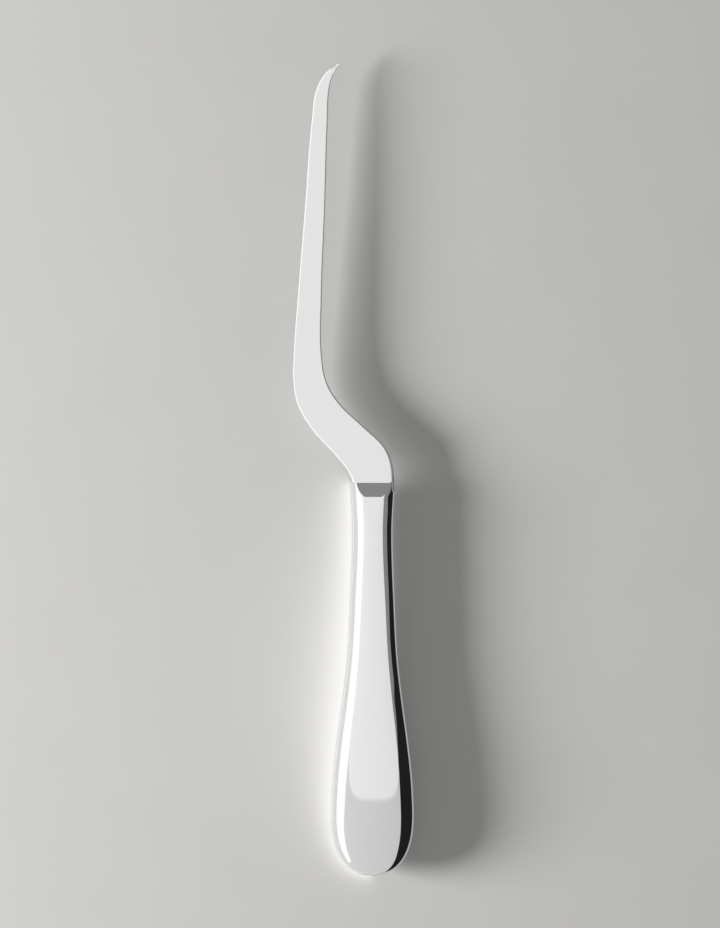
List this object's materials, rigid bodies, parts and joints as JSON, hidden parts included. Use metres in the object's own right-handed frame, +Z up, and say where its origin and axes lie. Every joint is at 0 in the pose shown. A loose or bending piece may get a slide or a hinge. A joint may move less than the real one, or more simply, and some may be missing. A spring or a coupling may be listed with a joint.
{
  "type": "cheese knife",
  "caption": "Soft-cheese knife of polished steel: a narrow cranked blade with an upturned tip and a hollow handle that swells to a rounded end.",
  "frame": {"origin": "under the middle of the knife's outline, on the surface that the handle lies on", "axes": "+Y from the handle towards the tip, +Z up out of the flat of the blade, -X towards the cutting edge"},
  "size_m": [0.032, 0.2152, 0.008],
  "materials": {
    "blade_steel": "mirror-polished stainless steel, ground flat",
    "handle_steel": "mirror-polished stainless steel, stamped and buffed",
    "braze": "silver braze filler, polished flush",
    "cement": "cast handle cement"
  },
  "bodies": {
    "root": {"blade": "blade_steel", "handle_shell_upper": "handle_steel", "handle_shell_lower": "handle_steel", "seam_braze": "braze", "tang_braze": "braze", "handle_filling": "cement"}
  },
  "joints": []
}
